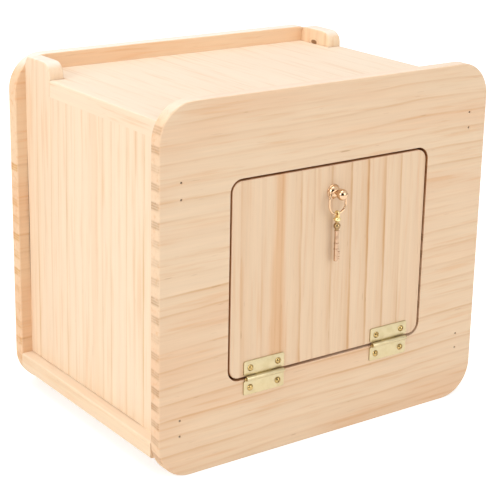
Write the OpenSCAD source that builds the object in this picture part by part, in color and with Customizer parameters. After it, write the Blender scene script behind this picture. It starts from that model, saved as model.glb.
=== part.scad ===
// Wooden money box: a pine case with rounded front and back panels, a drop-down
// emptying door on two brass butt hinges, a money slot in the back panel, and a
// small brass knob from which a key hangs on an oval link.
// Millimetres. +X right, +Y back, +Z up. The origin is the centre of the whole
// footprint, on the surface that the box stands on.

/* [Case] */
// Width of the front and back panels
case_w = 272; // [250:1:310]
// Height of the front panel
case_h = 250; // [235:1:290]
// How much lower the back panel and the ears are than the front panel
back_drop = 2.5; // [0:0.5:5]
// Depth over the front and back panels
case_d = 198.5; // [170:0.5:250]
// Thickness of the front and back panels
panel_t = 10; // [9:0.5:14]
// Thickness of the walls, the top and the base
board_t = 11.5; // [10:0.5:14]
// Corner radius of the front and back panels
panel_corner_r = 25; // [16:1:34]
// Rounding along the edges of the boards
edge_r = 1.25; // [0.5:0.25:4]
// Overhang of the front, back and base boards past the side walls
side_inset = 8.5; // [5:0.5:12]
// Step from the panels' top and bottom edges to the top and base boards
rim_inset = 14; // [10:0.5:18]
// Length of the raised ear at the back of each side wall
ear_length = 35; // [26:1:46]
// Radius of an ear's front top corner
ear_front_r = 9; // [6:0.5:12]
// Radius of an ear's back top corner
ear_back_r = 5; // [4.5:0.5:8]
// Clearance round an ear in its notch in the top board
notch_gap = 0.6; // [0.3:0.1:1]

/* [Door] */
// Width of the doorway in the front panel
doorway_w = 166; // [150:1:180]
// Height of the doorway
doorway_h = 138; // [128:1:142]
// Height of the doorway's lower edge above the table
doorway_z = 57.5; // [50:0.5:62]
// Corner radius of the doorway
doorway_corner_r = 9; // [6:0.5:14]
// Gap all round between the door and the doorway
door_gap = 1.6; // [1:0.1:1.8]
// Rounding along the edges of the door
door_edge_r = 1; // [0.5:0.25:2]
// Play between the shut door and its stop
stop_play = 0.2; // [0.2:0.1:0.5]

/* [Slot] */
// Length of the money slot in the back panel
slot_w = 80; // [60:1:100]
// Height of the money slot
slot_h = 6; // [5:0.5:9]
// Height of the slot's centre above the table
slot_z = 196; // [150:1:205]

/* [Hinges] */
// Length of each hinge along its pin
hinge_len = 33; // [28:1:38]
// Distance between the middles of the two hinges
hinge_spacing = 108; // [90:1:120]
// Reach of each leaf from the pin's axis to its outer edge
leaf_reach = 12; // [11:0.5:14]
// Thickness of the leaves
leaf_t = 1; // [0.8:0.1:1.2]
// Radius of the knuckles
knuckle_r = 1.7; // [1.5:0.1:2]
// Length of each outer knuckle
outer_knuckle = 8.9; // [7:0.1:10]
// Gap between neighbouring knuckles
knuckle_gap = 0.3; // [0.2:0.1:0.5]
// Radius of the hinge pins
hinge_pin_r = 0.9; // [0.7:0.1:1]
// Distance between the two screws of a leaf
leaf_screw_spacing = 22.6; // [20:0.2:24]
// Distance of the screws from the pin's axis
leaf_screw_reach = 7; // [6.5:0.25:7.5]

/* [Pull and key] */
// Distance of the knob's axis below the door's upper edge
knob_drop = 18.1; // [16:0.1:30]
// Radius of the knob's domed rose
rose_r = 5.1; // [4:0.1:5.5]
// Height of the domed rose
rose_h = 4.6; // [4:0.1:6]
// Radius of the knob's ball
ball_r = 3.8; // [3:0.1:4]
// Radius of the knob's neck and of its threaded stem
neck_r = 1.5; // [1.2:0.1:1.6]
// Length of the neck that shows between the rose and the ball
neck_len = 1.4; // [1.4:0.1:3]
// Radius of the wire of the oval link
link_wire_r = 0.75; // [0.6:0.05:0.85]
// Width over the oval link
link_w = 15.2; // [14:0.2:17]
// Height over the oval link
link_h = 18.2; // [17.2:0.2:24]
// Length of the key below the link
key_len = 33; // [30:0.2:40]
// Radius of the key's stem
stem_r = 1.35; // [1.2:0.05:1.9]
// Radius of the key's bead
bead_r = 2.4; // [2.2:0.1:2.8]

/* [Hidden] */
$fn = 96;

pine = "#ecd0a8";
brass = "#d9c06a";
gold = "#c99a5b";
steel = "#b9bcc0";

cut = 1;              // how far a cutting tool runs past a face
fit = 0.05;           // radial clearance of pins, screws and nails in their holes

// Case levels and planes, measured from the front panel's front face
inner_front = panel_t;
inner_back = case_d - panel_t;
back_h = case_h - back_drop;
base_z = rim_inset;
floor_z = base_z + board_t;
top_z = case_h - rim_inset;
ceiling_z = top_z - board_t;
wall_x = case_w / 2 - side_inset;
ear_y = inner_back - ear_length;

// Where the walls have shrunk: a slit above the base and a hollow in the back edge
slit_t = 0.4;
slit_depth = 4;
slit_start = 25;      // from the front panel to where the slit begins
hollow_depth = 0.8;
hollow_low = 64;
hollow_high = 186;
hollow_half = (hollow_high - hollow_low) / 2;
hollow_r = (pow(hollow_half, 2) + pow(hollow_depth, 2)) / (2 * hollow_depth);

// Nails
nail_r = 0.6;
nail_head_r = 0.75;
nail_head_t = 0.8;
nail_sunk = 0.5;
nail_len = 30;
nail_pocket_gap = 0.05;
nail_inset = 1.75;    // from a wall's middle towards the inside
panel_nail_x = wall_x - board_t / 2 - nail_inset;
nail_pitch = 11;
left_nail_low = 35;
right_nail_low = 44;
nail_top_drop = 30.5; // from the ceiling to the middle of a left-hand upper pair
right_nail_shift = 15.5;
base_nail_margin = 28;
base_nail_count = 3;

// Door and hinges
door_w = doorway_w - 2 * door_gap;
door_h = doorway_h - 2 * door_gap;
door_z = doorway_z + door_gap;
door_t = panel_t - stop_play;
door_corner_r = doorway_corner_r - door_gap;
knob_z = door_z + door_h - knob_drop;
knuckle_back_gap = 0.2;
pin_y = -(knuckle_r + knuckle_back_gap);
pin_z = doorway_z + door_gap / 2;
leaf_gap = 0.3;       // from a leaf's inner edge to the knuckles
leaf_start = knuckle_r + leaf_gap;
leaf_corner_r = 1;
middle_knuckle = hinge_len - 2 * outer_knuckle - 2 * knuckle_gap;

// Hinge screws
screw_head_r = 2.3;
screw_head_h = 1.7;
screw_r = 1.1;
screw_len = 7.5;
screw_slot_w = 0.6;
screw_slot_depth = 0.8;
screw_tip = 2;

// Door stop, magnet and strike
stop_w = 90;
stop_h = 22;
stop_t = 12;
stop_overlap = 8.8;
stop_z = door_z + door_h - stop_overlap;
magnet_r = 3;
magnet_t = 3;
catch_z = stop_z + 4.4;
strike_r = 3.8;
strike_t = 1;
strike_screw_r = 0.8;
strike_screw_head_r = 1.6;
strike_screw_len = 7;
stop_screw_spacing = 60;
stop_screw_r = 1.4;
stop_screw_head_r = 2.8;
stop_screw_len = 19;
stop_screw_z = doorway_z + doorway_h + (stop_z + stop_h - doorway_z - doorway_h) / 2;

// Knob
rose_flange_t = 0.8;
rose_lip = 0.3;       // ledge of the flange round the dome
rose_dome_r = rose_r - rose_lip;
ball_y = -(rose_h + neck_len + sqrt(pow(ball_r, 2) - pow(neck_r, 2)));
front_reach = ball_r - ball_y;
washer_r = 3.6;
washer_t = 0.8;
nut_across = 5.5;
nut_t = 2.4;
stem_end = 1;         // how far the knob's stem stands out of its nut

// Link and key
link_clear = 0.2;
link_y = -(rose_h + neck_len / 2 - 0.1);
link_top_z = knob_z + neck_r + link_clear + link_wire_r;
link_bend_r = link_w / 2 - link_wire_r;
link_low_z = link_top_z - (link_h - 2 * link_wire_r);
eye_gap = 0.3;
eye_wire_r = 0.7;
eye_r = link_wire_r + eye_gap + eye_wire_r;
collar_top = 1.9;     // all measured down from the link's lower wire
collar_top_r = 1.3;
collar_wide = 3.6;
collar_end = 6;
collar_r = 2.7;
collar_neck_r = 1.2;
bead_drop = 8.3;
ring_drops = [11.2, 20, 24];
ring_over = 0.35;
ring_t = 0.8;
bit_end = 1;          // bare stem below the bit
bit_h = 5.5;
bit_t = 1.3;
bit_reach = 1.5;
bit_cuts = [[0.9, 0.8, 0.7], [2.75, 1.1, 1.1], [4.7, 0.7, 0.8]];   // height, depth, width

// The case's front face, so that the whole footprint is centred on the origin
front_y = -(case_d - front_reach) / 2;

module in_place() translate([0, front_y, 0]) children();

// Rectangle with round corners, centred on x, with its lower edge at y = 0
module round_rect(w, h, r) {
    translate([-w / 2 + r, 0]) square([w - 2 * r, h]);
    translate([-w / 2, r]) square([w, h - 2 * r]);
    for (x = [-w / 2 + r, w / 2 - r], y = [r, h - r]) translate([x, y]) circle(r);
}

// Section of a board from a cut at x = 0 out to its rounded edge
module edge_section(reach, t, r) {
    square([reach - r, t]);
    translate([0, r]) square([reach, t - 2 * r]);
    for (y = [r, t - r]) translate([reach - r, y]) circle(r);
}

// A straight rounded edge that runs along +Y and reaches out along +X
module edge_strip(length, reach, t, r) {
    translate([0, length, 0]) rotate([90, 0, 0]) linear_extrude(length) edge_section(reach, t, r);
}

// A quarter-turn rounded corner, from +X round to +Y
module edge_corner(reach, t, r) {
    rotate_extrude(angle = 90) edge_section(reach, t, r);
}

// A flat board with round corners and rounded edges, centred on x and y
module rounded_board(w, h, t, corner, r) {
    flat_w = w - 2 * corner;
    flat_h = h - 2 * corner;
    translate([-flat_w / 2, -flat_h / 2, 0]) cube([flat_w, flat_h, t]);
    for (side = [0, 1]) {
        mirror([side, 0, 0]) translate([flat_w / 2, -flat_h / 2, 0])
            edge_strip(flat_h, corner, t, r);
        mirror([0, side, 0]) translate([flat_w / 2, flat_h / 2, 0]) rotate([0, 0, 90])
            edge_strip(flat_w, corner, t, r);
        for (end = [0, 1]) mirror([side, 0, 0]) mirror([0, end, 0])
            translate([flat_w / 2, flat_h / 2, 0]) edge_corner(corner, t, r);
    }
}

// Stands a flat board up, with its outer face on y = 0 and its lower edge on z = 0
module stand_up(h, t) translate([0, t, h / 2]) rotate([90, 0, 0]) children();

// A hole or a rod along +Y
module along_y(r, length, r_end = -1) {
    rotate([-90, 0, 0]) cylinder(h = length, r1 = r, r2 = r_end < 0 ? r : r_end);
}

// Nail driven along +Y through a face on y = 0, and the hole that it fills
module nail() {
    translate([0, nail_sunk, 0]) along_y(nail_head_r, nail_head_t);
    translate([0, nail_sunk, 0]) along_y(nail_r, nail_len - 2);
    translate([0, nail_sunk + nail_len - 2, 0]) along_y(nail_r, 2, 0.1);
}

module nail_hole() {
    translate([0, -cut, 0])
        along_y(nail_head_r + nail_pocket_gap, cut + nail_sunk + nail_head_t + nail_pocket_gap);
    along_y(nail_r + fit, nail_sunk + nail_len + nail_pocket_gap);
}

// The four nails on each side of a panel, as places in its face
function nail_places() = [
    for (side = [-1, 1], upper = [0, 1], end = [-1, 1]) [
        side * panel_nail_x,
        (upper == 0 ? (side < 0 ? left_nail_low : right_nail_low)
            : ceiling_z - nail_top_drop + (side < 0 ? 0 : right_nail_shift))
            + end * nail_pitch / 2
    ]
];

function base_nail_places() = [
    for (side = [-1, 1], i = [0:base_nail_count - 1]) [
        side * (wall_x - board_t / 2),
        inner_front + base_nail_margin
            + i * (inner_back - inner_front - 2 * base_nail_margin) / (base_nail_count - 1)
    ]
];

module at_front_nails() for (p = nail_places()) translate([p[0], 0, p[1]]) children();
module at_back_nails()
    for (p = nail_places()) translate([-p[0], case_d, p[1]]) rotate([0, 0, 180]) children();
module at_base_nails()
    for (p = base_nail_places()) translate([p[0], p[1], base_z]) rotate([90, 0, 0]) children();

// Round-headed slotted screw driven along +Y, with its head standing out of y = 0
module round_head_screw(length) {
    cap_r = (pow(screw_head_r, 2) + pow(screw_head_h, 2)) / (2 * screw_head_h);
    difference() {
        intersection() {
            translate([0, cap_r - screw_head_h, 0]) rotate([-90, 0, 0]) sphere(cap_r);
            translate([0, -screw_head_h - cut, 0]) along_y(screw_head_r + cut, screw_head_h + cut);
        }
        translate([-screw_slot_w / 2, -screw_head_h - cut, -screw_head_r - cut])
            cube([screw_slot_w, cut + screw_slot_depth, 2 * (screw_head_r + cut)]);
    }
    along_y(screw_r, length - screw_tip);
    translate([0, length - screw_tip, 0]) along_y(screw_r, screw_tip, 0.2);
}

// Countersunk screw driven along +Y, with its head flush with y = 0
module countersunk_screw(r, head_r, length) {
    difference() {
        union() {
            along_y(head_r, head_r - r, r);
            along_y(r, length - head_r);
            translate([0, length - head_r, 0]) along_y(r, head_r, 0.2);
        }
        translate([-head_r - cut, -cut, -0.3]) cube([2 * (head_r + cut), cut + 0.5, 0.6]);
    }
}

module countersunk_hole(r, head_r, length) {
    along_y(head_r + fit, head_r - r, r + fit);
    translate([0, -cut, 0]) along_y(head_r + fit, cut);
    along_y(r + fit, length + fit);
}

// Places of the leaf screws on one side of the hinge line, on the panel's face
module at_leaf_screws(side) {
    for (hinge = [-1, 1], end = [-1, 1])
        translate([hinge * hinge_spacing / 2 + end * leaf_screw_spacing / 2, 0,
            pin_z + side * leaf_screw_reach]) rotate([0, 20 * hinge + 35 * end, 0]) children();
}

module leaf_screw_holes(side) {
    at_leaf_screws(side) translate([0, -cut, 0]) along_y(screw_r + fit, cut + screw_len + fit);
}

module at_stop_screws()
    for (side = [-1, 1]) translate([side * stop_screw_spacing / 2, inner_front + stop_t, stop_screw_z])
        rotate([0, 0, 180]) children();

module stop_screw_holes()
    at_stop_screws() countersunk_hole(stop_screw_r, stop_screw_head_r, stop_screw_len);

module panel_blank(h) {
    stand_up(h, panel_t) rounded_board(case_w, h, panel_t, panel_corner_r, edge_r);
}

module front_panel() color(pine) in_place() difference() {
    panel_blank(case_h);
    translate([0, panel_t + cut, doorway_z]) rotate([90, 0, 0])
        linear_extrude(panel_t + 2 * cut) round_rect(doorway_w, doorway_h, doorway_corner_r);
    at_front_nails() nail_hole();
    leaf_screw_holes(-1);
    stop_screw_holes();
}

module back_panel() color(pine) in_place() difference() {
    translate([0, inner_back, 0]) panel_blank(back_h);
    translate([0, case_d + cut, slot_z - slot_h / 2]) rotate([90, 0, 0])
        linear_extrude(panel_t + 2 * cut) {
            translate([-(slot_w - slot_h) / 2, 0]) square([slot_w - slot_h, slot_h]);
            for (side = [-1, 1])
                translate([side * (slot_w - slot_h) / 2, slot_h / 2]) circle(slot_h / 2);
        }
    at_back_nails() nail_hole();
}

// The right-hand wall; its ear rises through the top board to the back panel's height
module wall_blank() {
    ear_crown = ear_length - ear_front_r - ear_back_r;
    ear_rise = back_h - ceiling_z;
    translate([wall_x - board_t, inner_front, floor_z])
        cube([board_t, inner_back - inner_front, ceiling_z - floor_z]);
    translate([wall_x - board_t, 0, ceiling_z]) rotate([90, 0, 90]) {
        translate([ear_y + ear_front_r, 0, 0]) cube([ear_crown, ear_rise - ear_front_r, board_t]);
        translate([ear_y + ear_front_r, 0, 0]) mirror([1, 0, 0])
            edge_strip(ear_rise - ear_front_r, ear_front_r, board_t, edge_r);
        translate([inner_back - ear_back_r, 0, 0])
            cube([ear_back_r, ear_rise - ear_back_r, board_t]);
        translate([ear_y + ear_front_r, ear_rise - ear_front_r, 0])
            mirror([1, 0, 0]) edge_corner(ear_front_r, board_t, edge_r);
        translate([inner_back - ear_back_r, ear_rise - ear_back_r, 0])
            edge_corner(ear_back_r, board_t, edge_r);
        translate([inner_back - ear_back_r, ear_rise - ear_front_r, 0])
            rotate([0, 0, 90]) edge_strip(ear_crown, ear_front_r, board_t, edge_r);
    }
}

// The slit and the hollow that shrinking has left at the right-hand wall's edges
module wall_shrinkage() {
    translate([wall_x - slit_depth, inner_front + slit_start, floor_z])
        cube([slit_depth + cut, inner_back - inner_front, slit_t]);
    translate([wall_x - board_t - cut, inner_back + hollow_r - hollow_depth,
        hollow_low + hollow_half]) rotate([0, 90, 0])
        cylinder(h = board_t + 2 * cut, r = hollow_r, $fn = 960);
}

module wall_nail_holes() {
    at_front_nails() nail_hole();
    at_back_nails() nail_hole();
    at_base_nails() nail_hole();
}

module right_side() color(pine) in_place() difference() {
    wall_blank();
    wall_shrinkage();
    wall_nail_holes();
}

module left_side() color(pine) in_place() difference() {
    mirror([1, 0, 0]) wall_blank();
    mirror([1, 0, 0]) wall_shrinkage();
    wall_nail_holes();
}

// Board across the case whose two end edges are rounded: the upper arrises, or both
module cross_board(half_w, z, lower_r) {
    for (side = [0, 1]) mirror([side, 0, 0]) translate([0, inner_back, z]) rotate([90, 0, 0])
        linear_extrude(inner_back - inner_front) {
            square([half_w - edge_r, board_t]);
            translate([0, lower_r]) square([half_w, board_t - edge_r - lower_r]);
            translate([half_w - edge_r, board_t - edge_r]) circle(edge_r);
            if (lower_r > 0) translate([half_w - edge_r, lower_r]) circle(lower_r);
            else translate([half_w - edge_r, 0]) square([edge_r, edge_r]);
        }
}

module top_panel() color(pine) in_place() difference() {
    cross_board(wall_x, ceiling_z, 0);
    for (side = [0, 1]) mirror([side, 0, 0])
        translate([wall_x - board_t - notch_gap, ear_y - notch_gap, ceiling_z - cut])
            cube([board_t + notch_gap + cut, ear_length + notch_gap + cut, board_t + 2 * cut]);
}

module base_panel() color(pine) in_place() difference() {
    cross_board(case_w / 2, base_z, edge_r);
    at_base_nails() nail_hole();
}

module front_nails() color(steel) in_place() at_front_nails() nail();
module back_nails() color(steel) in_place() at_back_nails() nail();
module base_nails() color(steel) in_place() at_base_nails() nail();

module at_hinge(hand) translate([hand * hinge_spacing / 2, 0, pin_z]) children();

// One knuckle along x and the web that joins it to a leaf above it
module knuckle(start, length) {
    difference() {
        union() {
            translate([start, pin_y, 0]) rotate([0, 90, 0]) cylinder(h = length, r = knuckle_r);
            translate([start, -leaf_t, 0]) cube([length, leaf_t, leaf_start + cut]);
        }
        translate([start - cut, pin_y, 0]) rotate([0, 90, 0])
            cylinder(h = length + 2 * cut, r = hinge_pin_r + fit);
    }
}

// Leaf plate standing above the pin, flat against the wood
module leaf_plate() {
    difference() {
        translate([0, 0, leaf_start]) rotate([90, 0, 0]) linear_extrude(leaf_t)
            round_rect(hinge_len, leaf_reach - leaf_start, leaf_corner_r);
        for (end = [-1, 1]) translate([end * leaf_screw_spacing / 2, -leaf_t - cut, leaf_screw_reach])
            along_y(screw_r + 2 * fit, leaf_t + 2 * cut);
    }
}

module door_leaf(hand) color(brass) in_place() at_hinge(hand) {
    leaf_plate();
    knuckle(-middle_knuckle / 2, middle_knuckle);
}

module frame_leaf(hand) color(brass) in_place() at_hinge(hand) mirror([0, 0, 1]) {
    leaf_plate();
    for (side = [0, 1]) mirror([side, 0, 0])
        knuckle(hinge_len / 2 - outer_knuckle, outer_knuckle);
}

module hinge_pin(hand) color(brass) in_place() at_hinge(hand)
    translate([-hinge_len / 2, pin_y, 0]) rotate([0, 90, 0]) cylinder(h = hinge_len, r = hinge_pin_r);

module left_frame_leaf() frame_leaf(-1);
module right_frame_leaf() frame_leaf(1);
module left_door_leaf() door_leaf(-1);
module right_door_leaf() door_leaf(1);
module left_hinge_pin() hinge_pin(-1);
module right_hinge_pin() hinge_pin(1);

module frame_leaf_screws() color(brass) in_place() at_leaf_screws(-1)
    translate([0, -leaf_t, 0]) round_head_screw(screw_len + leaf_t);
module door_leaf_screws() color(brass) in_place() at_leaf_screws(1)
    translate([0, -leaf_t, 0]) round_head_screw(screw_len + leaf_t);

// Pine batten inside, above the doorway: the shut door's top rests against it
module door_stop() color(pine) in_place() difference() {
    translate([-stop_w / 2, inner_front, stop_z]) cube([stop_w, stop_t, stop_h]);
    translate([0, inner_front - cut, catch_z]) along_y(magnet_r + fit, cut + magnet_t + fit);
    stop_screw_holes();
}

module door_stop_screws() color(steel) in_place() at_stop_screws()
    countersunk_screw(stop_screw_r, stop_screw_head_r, stop_screw_len);

module catch_magnet() color(steel) in_place()
    translate([0, inner_front, catch_z]) along_y(magnet_r, magnet_t);

module at_strike() translate([0, door_t, catch_z]) rotate([0, 0, 180]) children();

module door_panel() color(pine) in_place() difference() {
    translate([0, 0, door_z]) stand_up(door_h, door_t)
        rounded_board(door_w, door_h, door_t, door_corner_r, door_edge_r);
    leaf_screw_holes(1);
    translate([0, -cut, knob_z]) along_y(neck_r + fit, door_t + 2 * cut);
    at_strike() {
        translate([0, -cut, 0]) along_y(strike_r + fit, cut + strike_t);
        along_y(strike_screw_r + fit, strike_screw_len + fit);
    }
}

module strike_plate() color(steel) in_place() at_strike() difference() {
    along_y(strike_r, strike_t);
    countersunk_hole(strike_screw_r, strike_screw_head_r, strike_screw_len);
}

module strike_screw() color(steel) in_place() at_strike()
    countersunk_screw(strike_screw_r, strike_screw_head_r, strike_screw_len);

// Domed rose, flat on the door, that the neck of the knob passes through
module knob_rose() color(gold) in_place() translate([0, 0, knob_z]) rotate([90, 0, 0]) difference() {
    union() {
        cylinder(h = rose_flange_t, r = rose_r);
        intersection() {
            translate([0, 0, rose_h - rose_dome_r]) sphere(rose_dome_r);
            cylinder(h = rose_h, r = rose_r);
        }
    }
    translate([0, 0, -cut]) cylinder(h = rose_h + 2 * cut, r = neck_r + fit);
}

module knob() color(gold) in_place() translate([0, 0, knob_z]) {
    translate([0, ball_y, 0]) rotate([90, 0, 0]) sphere(ball_r);
    translate([0, ball_y, 0]) along_y(neck_r, -ball_y + door_t + washer_t + nut_t + stem_end);
}

module knob_washer() color(brass) in_place() translate([0, door_t, knob_z]) difference() {
    along_y(washer_r, washer_t);
    translate([0, -cut, 0]) along_y(neck_r + 2 * fit, washer_t + 2 * cut);
}

module knob_nut() color(brass) in_place() translate([0, door_t + washer_t, knob_z]) difference() {
    rotate([-90, 0, 0]) linear_extrude(nut_t) circle(r = nut_across / sqrt(3), $fn = 6);
    translate([0, -cut, 0]) along_y(neck_r + fit, nut_t + 2 * cut);
}

// Oval wire link, hung on the neck of the knob
module pull_link() color(gold) in_place() translate([0, link_y, 0]) rotate([90, 0, 0]) {
    straight = link_h - link_w;
    translate([0, link_top_z - link_bend_r, 0]) rotate_extrude(angle = 180)
        translate([link_bend_r, 0]) circle(link_wire_r);
    translate([0, link_low_z + link_bend_r, 0]) rotate([0, 0, 180]) rotate_extrude(angle = 180)
        translate([link_bend_r, 0]) circle(link_wire_r);
    for (side = [-1, 1]) translate([side * link_bend_r, link_low_z + link_bend_r, 0])
        rotate([-90, 0, 0]) cylinder(h = straight, r = link_wire_r);
}

// Key: an eye on the link's lower wire, a turned collar and bead, and a stem with its bit
module key() color(gold) in_place() translate([0, link_y, link_low_z]) {
    rotate([0, 90, 0]) rotate_extrude() translate([eye_r, 0]) circle(eye_wire_r);
    rotate([180, 0, 0]) {
        translate([0, 0, collar_top])
            cylinder(h = collar_wide - collar_top, r1 = collar_top_r, r2 = collar_r);
        translate([0, 0, collar_wide])
            cylinder(h = collar_end - collar_wide, r1 = collar_r, r2 = collar_neck_r);
        translate([0, 0, bead_drop]) sphere(bead_r);
        translate([0, 0, collar_end - cut]) cylinder(h = bead_drop - collar_end + cut, r = collar_neck_r);
        translate([0, 0, bead_drop]) cylinder(h = key_len - bead_drop, r = stem_r);
        for (drop = ring_drops) translate([0, 0, drop]) cylinder(h = ring_t, r = stem_r + ring_over);
    }
    translate([0, -bit_t / 2, -key_len + bit_end]) difference() {
        cube([stem_r + bit_reach, bit_t, bit_h]);
        for (c = bit_cuts) translate([stem_r + bit_reach - c[1], -cut, c[0] - c[2] / 2])
            cube([c[1] + cut, bit_t + 2 * cut, c[2]]);
    }
}

front_panel();
back_panel();
left_side();
right_side();
top_panel();
base_panel();
front_nails();
back_nails();
base_nails();
left_frame_leaf();
right_frame_leaf();
left_hinge_pin();
right_hinge_pin();
frame_leaf_screws();
door_stop();
door_stop_screws();
catch_magnet();
door_panel();
left_door_leaf();
right_door_leaf();
door_leaf_screws();
knob_rose();
knob();
knob_washer();
knob_nut();
strike_plate();
strike_screw();
pull_link();
key();
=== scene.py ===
from math import cos, pi, radians, sin, sqrt

import bpy
from mathutils import Matrix, Vector


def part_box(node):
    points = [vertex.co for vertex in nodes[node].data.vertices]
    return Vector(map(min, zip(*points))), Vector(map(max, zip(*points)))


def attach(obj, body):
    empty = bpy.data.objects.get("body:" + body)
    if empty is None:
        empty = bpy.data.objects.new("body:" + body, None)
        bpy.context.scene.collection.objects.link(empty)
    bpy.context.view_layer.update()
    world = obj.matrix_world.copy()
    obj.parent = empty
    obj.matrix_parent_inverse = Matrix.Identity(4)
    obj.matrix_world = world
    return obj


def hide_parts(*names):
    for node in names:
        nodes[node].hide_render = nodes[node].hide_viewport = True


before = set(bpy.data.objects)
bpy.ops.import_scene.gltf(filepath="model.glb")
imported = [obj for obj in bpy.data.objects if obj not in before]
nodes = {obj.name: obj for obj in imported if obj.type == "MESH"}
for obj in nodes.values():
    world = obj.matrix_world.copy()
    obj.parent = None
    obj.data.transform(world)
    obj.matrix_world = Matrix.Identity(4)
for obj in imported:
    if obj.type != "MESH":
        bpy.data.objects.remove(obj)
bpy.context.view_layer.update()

mm = 0.001
print("frame loaded:", len(nodes), "nodes")

# places that several pieces share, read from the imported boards
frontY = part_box("front_panel")[0].y
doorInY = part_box("door_panel")[1].y
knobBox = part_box("knob")
knobZ = (knobBox[0].z + knobBox[1].z) / 2


# small helpers

def deselectAll():
    if bpy.context.object and bpy.context.object.mode != "OBJECT":
        bpy.ops.object.mode_set(mode="OBJECT")
    bpy.ops.object.select_all(action="DESELECT")


def nameNew(name):
    piece = bpy.context.object
    piece.name = name
    piece.data.name = name
    return piece


def makeActive(piece):
    deselectAll()
    piece.select_set(True)
    bpy.context.view_layer.objects.active = piece


def editAll(piece):
    makeActive(piece)
    bpy.ops.object.mode_set(mode="EDIT")
    bpy.ops.mesh.select_all(action="SELECT")


# points nearer to each other than the gap become one
def closeAndFix(piece, gap=0.002 * mm):
    editAll(piece)
    bpy.ops.mesh.remove_doubles(threshold=gap)
    bpy.ops.mesh.normals_make_consistent(inside=False)
    bpy.ops.object.mode_set(mode="OBJECT")


def smoothPiece(piece, angle=35):
    makeActive(piece)
    bpy.ops.object.shade_smooth_by_angle(angle=radians(angle))


def applyPlace(piece):
    makeActive(piece)
    bpy.ops.object.transform_apply(location=True, rotation=True, scale=True)


def addAndApply(piece, kind, **values):
    makeActive(piece)
    mod = piece.modifiers.new(kind.title(), kind)
    for key, value in values.items():
        setattr(mod, key, value)
    bpy.ops.object.modifier_apply(modifier=mod.name)


def addBlock(name, place, size, turnDeg=0):
    deselectAll()
    bpy.ops.mesh.primitive_cube_add(size=1, location=place)
    block = nameNew(name)
    block.scale = size
    block.rotation_euler = (0, 0, radians(turnDeg))
    applyPlace(block)
    return block


def cutWith(piece, tool, how="DIFFERENCE"):
    addAndApply(piece, "BOOLEAN", object=tool, operation=how, solver="EXACT")
    bpy.data.objects.remove(tool)


def joinPieces(pieces, name):
    deselectAll()
    for piece in pieces:
        piece.select_set(True)
    bpy.context.view_layer.objects.active = pieces[0]
    bpy.ops.object.join()
    return nameNew(name)


# a turned shape: the outline is (radius, height) pairs, spun round Z
def turnOutline(name, outline, steps=40):
    deselectAll()
    bpy.ops.mesh.primitive_plane_add(size=mm)
    piece = nameNew(name)
    bpy.ops.object.mode_set(mode="EDIT")
    bpy.ops.mesh.select_mode(type="VERT")
    bpy.ops.mesh.select_all(action="SELECT")
    bpy.ops.mesh.merge(type="CENTER")
    bpy.ops.transform.translate(value=(outline[0][0], 0, outline[0][1]))
    for here, there in zip(outline, outline[1:]):
        step = (there[0] - here[0], 0, there[1] - here[1])
        bpy.ops.mesh.extrude_region_move(TRANSFORM_OT_translate={"value": step})
    bpy.ops.mesh.select_all(action="SELECT")
    bpy.ops.mesh.spin(steps=steps, angle=2 * pi, center=(0, 0, 0), axis=(0, 0, 1))
    bpy.ops.object.mode_set(mode="OBJECT")
    closeAndFix(piece)
    return piece


def arcPoints(centreR, centreZ, radius, fromDeg, toDeg, count):
    angles = [radians(fromDeg + (toDeg - fromDeg) * i / (count - 1)) for i in range(count)]
    return [(max(centreR + radius * cos(a), 0), centreZ + radius * sin(a)) for a in angles]


def inMm(outline):
    return [(a * mm, b * mm) for a, b in outline]


# turned pieces are made upright, with their outer end up, and then laid along Y
toFront = (pi / 2, 0, 0)
toBack = (-pi / 2, 0, 0)


def movePiece(piece, place, turn=(0, 0, 0)):
    piece.rotation_euler = turn
    piece.location = place
    applyPlace(piece)


# a material of None keeps those that the piece already has
def finishPiece(piece, body, material, nodeName, angle=35):
    smoothPiece(piece, angle)
    if material:
        piece.data.materials.clear()
        piece.data.materials.append(material)
    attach(piece, body)
    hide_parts(nodeName)


# shader helpers

def addNode(tree, kind, **values):
    node = tree.nodes.new(kind)
    for key, value in values.items():
        setattr(node, key, value)
    return node


def feed(tree, node, index, source):
    if isinstance(source, (int, float, tuple)):
        node.inputs[index].default_value = source
    else:
        tree.links.new(source, node.inputs[index])


def doMath(tree, how, first, second=0.0, third=0.0, clamp=False):
    node = addNode(tree, "ShaderNodeMath", operation=how, use_clamp=clamp)
    feed(tree, node, 0, first)
    feed(tree, node, 1, second)
    feed(tree, node, 2, third)
    return node.outputs[0]


def mixColours(tree, amount, first, second, how="MIX"):
    node = addNode(tree, "ShaderNodeMix", data_type="RGBA", blend_type=how)
    feed(tree, node, 0, amount)
    feed(tree, node, 6, first)
    feed(tree, node, 7, second)
    return node.outputs[2]


def fitRange(tree, source, low, high, toLow=0.0, toHigh=1.0, smooth=False):
    node = addNode(tree, "ShaderNodeMapRange")
    node.interpolation_type = "SMOOTHSTEP" if smooth else "LINEAR"
    feed(tree, node, 0, source)
    for index, value in enumerate((low, high, toLow, toHigh)):
        feed(tree, node, index + 1, value)
    return node.outputs[0]


def combine(tree, x, y, z):
    node = addNode(tree, "ShaderNodeCombineXYZ")
    for index, value in enumerate((x, y, z)):
        feed(tree, node, index, value)
    return node.outputs[0]


def noiseAt(tree, vector, scale=1.0, detail=2.0, roughness=0.5):
    node = addNode(tree, "ShaderNodeTexNoise")
    feed(tree, node, "Vector", vector)
    node.inputs["Scale"].default_value = scale
    node.inputs["Detail"].default_value = detail
    node.inputs["Roughness"].default_value = roughness
    return node.outputs["Fac"]


def splitVector(tree, source):
    node = addNode(tree, "ShaderNodeSeparateXYZ")
    feed(tree, node, 0, source)
    return node.outputs


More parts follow.
